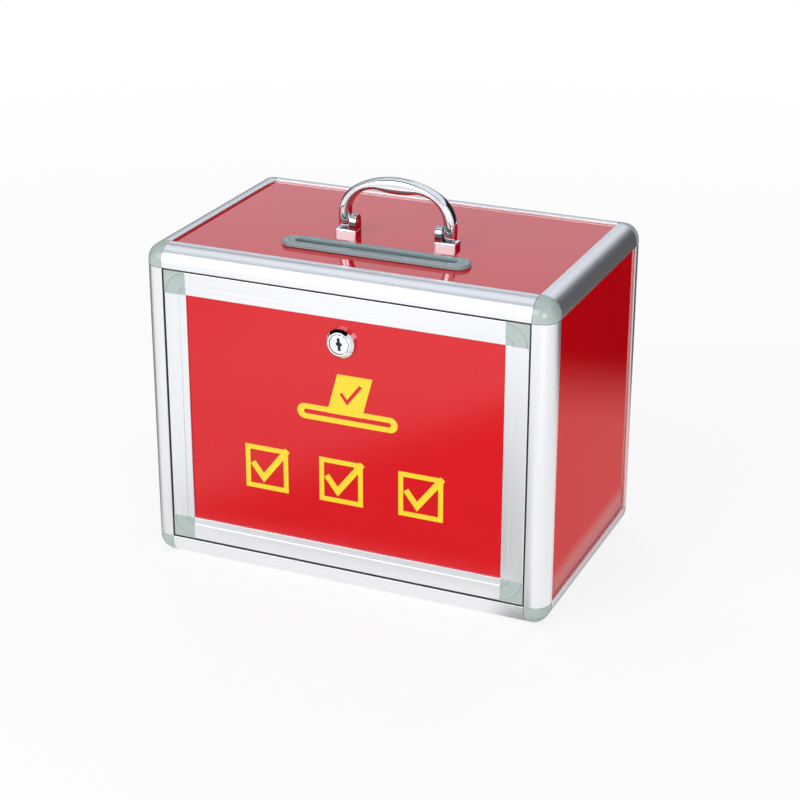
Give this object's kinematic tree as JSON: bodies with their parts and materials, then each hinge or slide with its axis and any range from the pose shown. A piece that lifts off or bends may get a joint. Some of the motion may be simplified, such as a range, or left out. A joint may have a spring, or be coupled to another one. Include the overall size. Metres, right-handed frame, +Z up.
{
  "type": "ballot box",
  "caption": "Portable ballot box with red panels in rounded aluminium edge rails, a slot in the top, a locking drop-down front door and a folding carrying handle.",
  "frame": {"origin": "middle of the case's footprint, on the surface it stands on", "axes": "+Z up; the door faces -Y; +X is to the right as seen from the front"},
  "size_m": [0.3, 0.1928, 0.2785],
  "materials": {
    "anodised_aluminium": "satin anodised extrusion",
    "corner_plastic": "moulded, light grey, slight sheen",
    "trim_plastic": "moulded, mid grey, slight sheen",
    "red_panel": "high-gloss sheet",
    "chrome": "bright chrome plating",
    "zinc_steel": "zinc plated",
    "wafer_brass": "stamped"
  },
  "bodies": {
    "case": {"rail_top_front": "anodised_aluminium", "rail_top_back": "anodised_aluminium", "rail_top_left": "anodised_aluminium", "rail_top_right": "anodised_aluminium", "rail_bottom_front": "anodised_aluminium", "rail_bottom_back": "anodised_aluminium", "rail_bottom_left": "anodised_aluminium", "rail_bottom_right": "anodised_aluminium", "rail_left_front": "anodised_aluminium", "rail_left_back": "anodised_aluminium", "rail_right_front": "anodised_aluminium", "rail_right_back": "anodised_aluminium", "corner_top_front_left": "corner_plastic", "corner_top_front_right": "corner_plastic", "corner_top_back_left": "corner_plastic", "corner_top_back_right": "corner_plastic", "corner_bottom_front_left": "corner_plastic", "corner_bottom_front_right": "corner_plastic", "corner_bottom_back_left": "corner_plastic", "corner_bottom_back_right": "corner_plastic", "panel_top": "red_panel", "panel_bottom": "red_panel", "panel_left": "red_panel", "panel_right": "red_panel", "panel_back": "red_panel", "slot_trim": "trim_plastic", "hinge_pins": "zinc_steel", "handle_foot_left": "chrome", "handle_foot_right": "chrome", "handle_pins": "zinc_steel", "handle_screws": "zinc_steel", "handle_washers": "zinc_steel", "handle_nuts": "zinc_steel"},
    "door": {"door_rail_top": "anodised_aluminium", "door_rail_bottom": "anodised_aluminium", "door_rail_left": "anodised_aluminium", "door_rail_right": "anodised_aluminium", "door_corner_top_left": "corner_plastic", "door_corner_top_right": "corner_plastic", "door_corner_bottom_left": "corner_plastic", "door_corner_bottom_right": "corner_plastic", "door_panel": "red_panel", "lock_body": "chrome", "lock_nut": "zinc_steel"},
    "lock": {"lock_plug": "chrome", "lock_wafers": "wafer_brass", "lock_cam": "zinc_steel", "lock_cam_washer": "zinc_steel", "lock_cam_screw": "zinc_steel"},
    "handle": {"handle_bow": "chrome"}
  },
  "joints": [
    {"name": "door_hinge", "type": "hinge", "parent": "case", "child": "door", "pos_m": [0, -0.0914, 0.0197], "axis": [1, 0, 0], "range_deg": [0, 94]},
    {"name": "handle_fold", "type": "hinge", "parent": "case", "child": "handle", "pos_m": [0.0056, -0.012, 0.24325], "axis": [1, 0, 0], "range_deg": [-90, 90]},
    {"name": "lock_turn", "type": "hinge", "parent": "door", "child": "lock", "pos_m": [0, -0.08, 0.1855], "axis": [0, 1, 0], "range_deg": [0, 90]}
  ]
}
